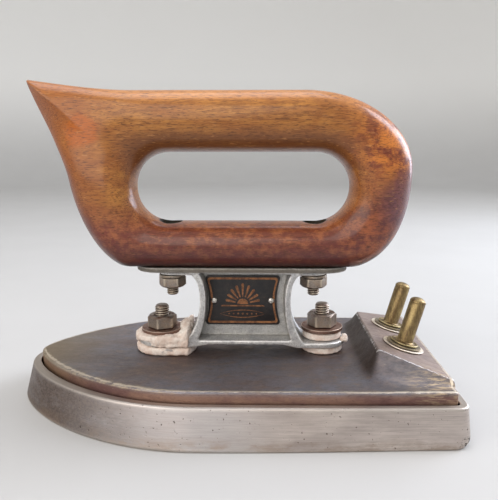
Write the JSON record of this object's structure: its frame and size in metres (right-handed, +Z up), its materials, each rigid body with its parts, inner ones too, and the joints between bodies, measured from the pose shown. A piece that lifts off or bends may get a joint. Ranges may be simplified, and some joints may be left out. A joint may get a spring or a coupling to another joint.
{
  "type": "electric clothes iron",
  "caption": "Old electric dry iron: boat-shaped steel sole with a sunk cover, cast bracket, horned wooden loop grip and tilted brass contact pins at the heel.",
  "frame": {"origin": "centre of the ironing face, at the middle of the object's outline and on the surface it rests on", "axes": "+Z up, -X towards the toe, +X towards the heel and the contact pins, +Y towards the iron's right-hand side as the user looks from heel to toe"},
  "size_m": [0.175, 0.107, 0.1294],
  "materials": {
    "sole_steel": "satin polished, warm grey, worn brighter along the rim and the lower edge",
    "cover_steel": "dark brown-grey blued sheet steel, rubbed bright on its edges",
    "bolt_steel": "dark bronze-brown aged steel with bright threads",
    "plate_iron": "rough cast iron",
    "cast_aluminium": "cast, dull, with bright rubbed edges",
    "pin_brass": "aged brass with fine lengthwise streaks",
    "lead_brass": "thin brass strip",
    "ring_steel": "dull steel ring with a brown film",
    "rivet_metal": "bright domed rivet heads",
    "mica": "pale split mica sheet",
    "mineral_board": "grey-white pressed mineral board",
    "mineral_insulator": "chalky pinkish-white crumbling mineral",
    "resistance_strip": "resistance alloy strip",
    "enamel": "black-brown enamel with a worn copper border",
    "varnished_wood": "varnished orange-brown wood, darker red-brown on the lower bar and the heel end"
  },
  "bodies": {
    "root": {"sole_plate": "sole_steel", "lower_mica_sheet": "mica", "heating_element": "resistance_strip", "upper_mica_sheet": "mica", "pressure_plate": "plate_iron", "insulation_sheet": "mineral_board", "cover": "cover_steel", "front_stud": "bolt_steel", "front_inner_nut": "bolt_steel", "front_stud_washer": "bolt_steel", "front_stud_nut": "bolt_steel", "front_lower_insulator": "mineral_insulator", "front_upper_insulator": "mineral_insulator", "rear_stud": "bolt_steel", "rear_inner_nut": "bolt_steel", "rear_stud_washer": "bolt_steel", "rear_stud_nut": "bolt_steel", "rear_lower_insulator": "mineral_insulator", "rear_upper_insulator": "mineral_insulator", "bracket": "cast_aluminium", "nameplate": "enamel", "nameplate_rivet_front": "rivet_metal", "nameplate_rivet_rear": "rivet_metal", "handle": "varnished_wood", "front_handle_bolt": "bolt_steel", "front_handle_washer": "bolt_steel", "front_handle_nut": "bolt_steel", "rear_handle_bolt": "bolt_steel", "rear_handle_washer": "bolt_steel", "rear_handle_nut": "bolt_steel", "left_contact_pin": "pin_brass", "left_pin_bush": "mica", "left_pin_ring": "ring_steel", "left_pin_washer": "mica", "left_pin_nut": "pin_brass", "left_lead_strip": "lead_brass", "right_contact_pin": "pin_brass", "right_pin_bush": "mica", "right_pin_ring": "ring_steel", "right_pin_washer": "mica", "right_pin_nut": "pin_brass", "right_lead_strip": "lead_brass"}
  },
  "joints": []
}
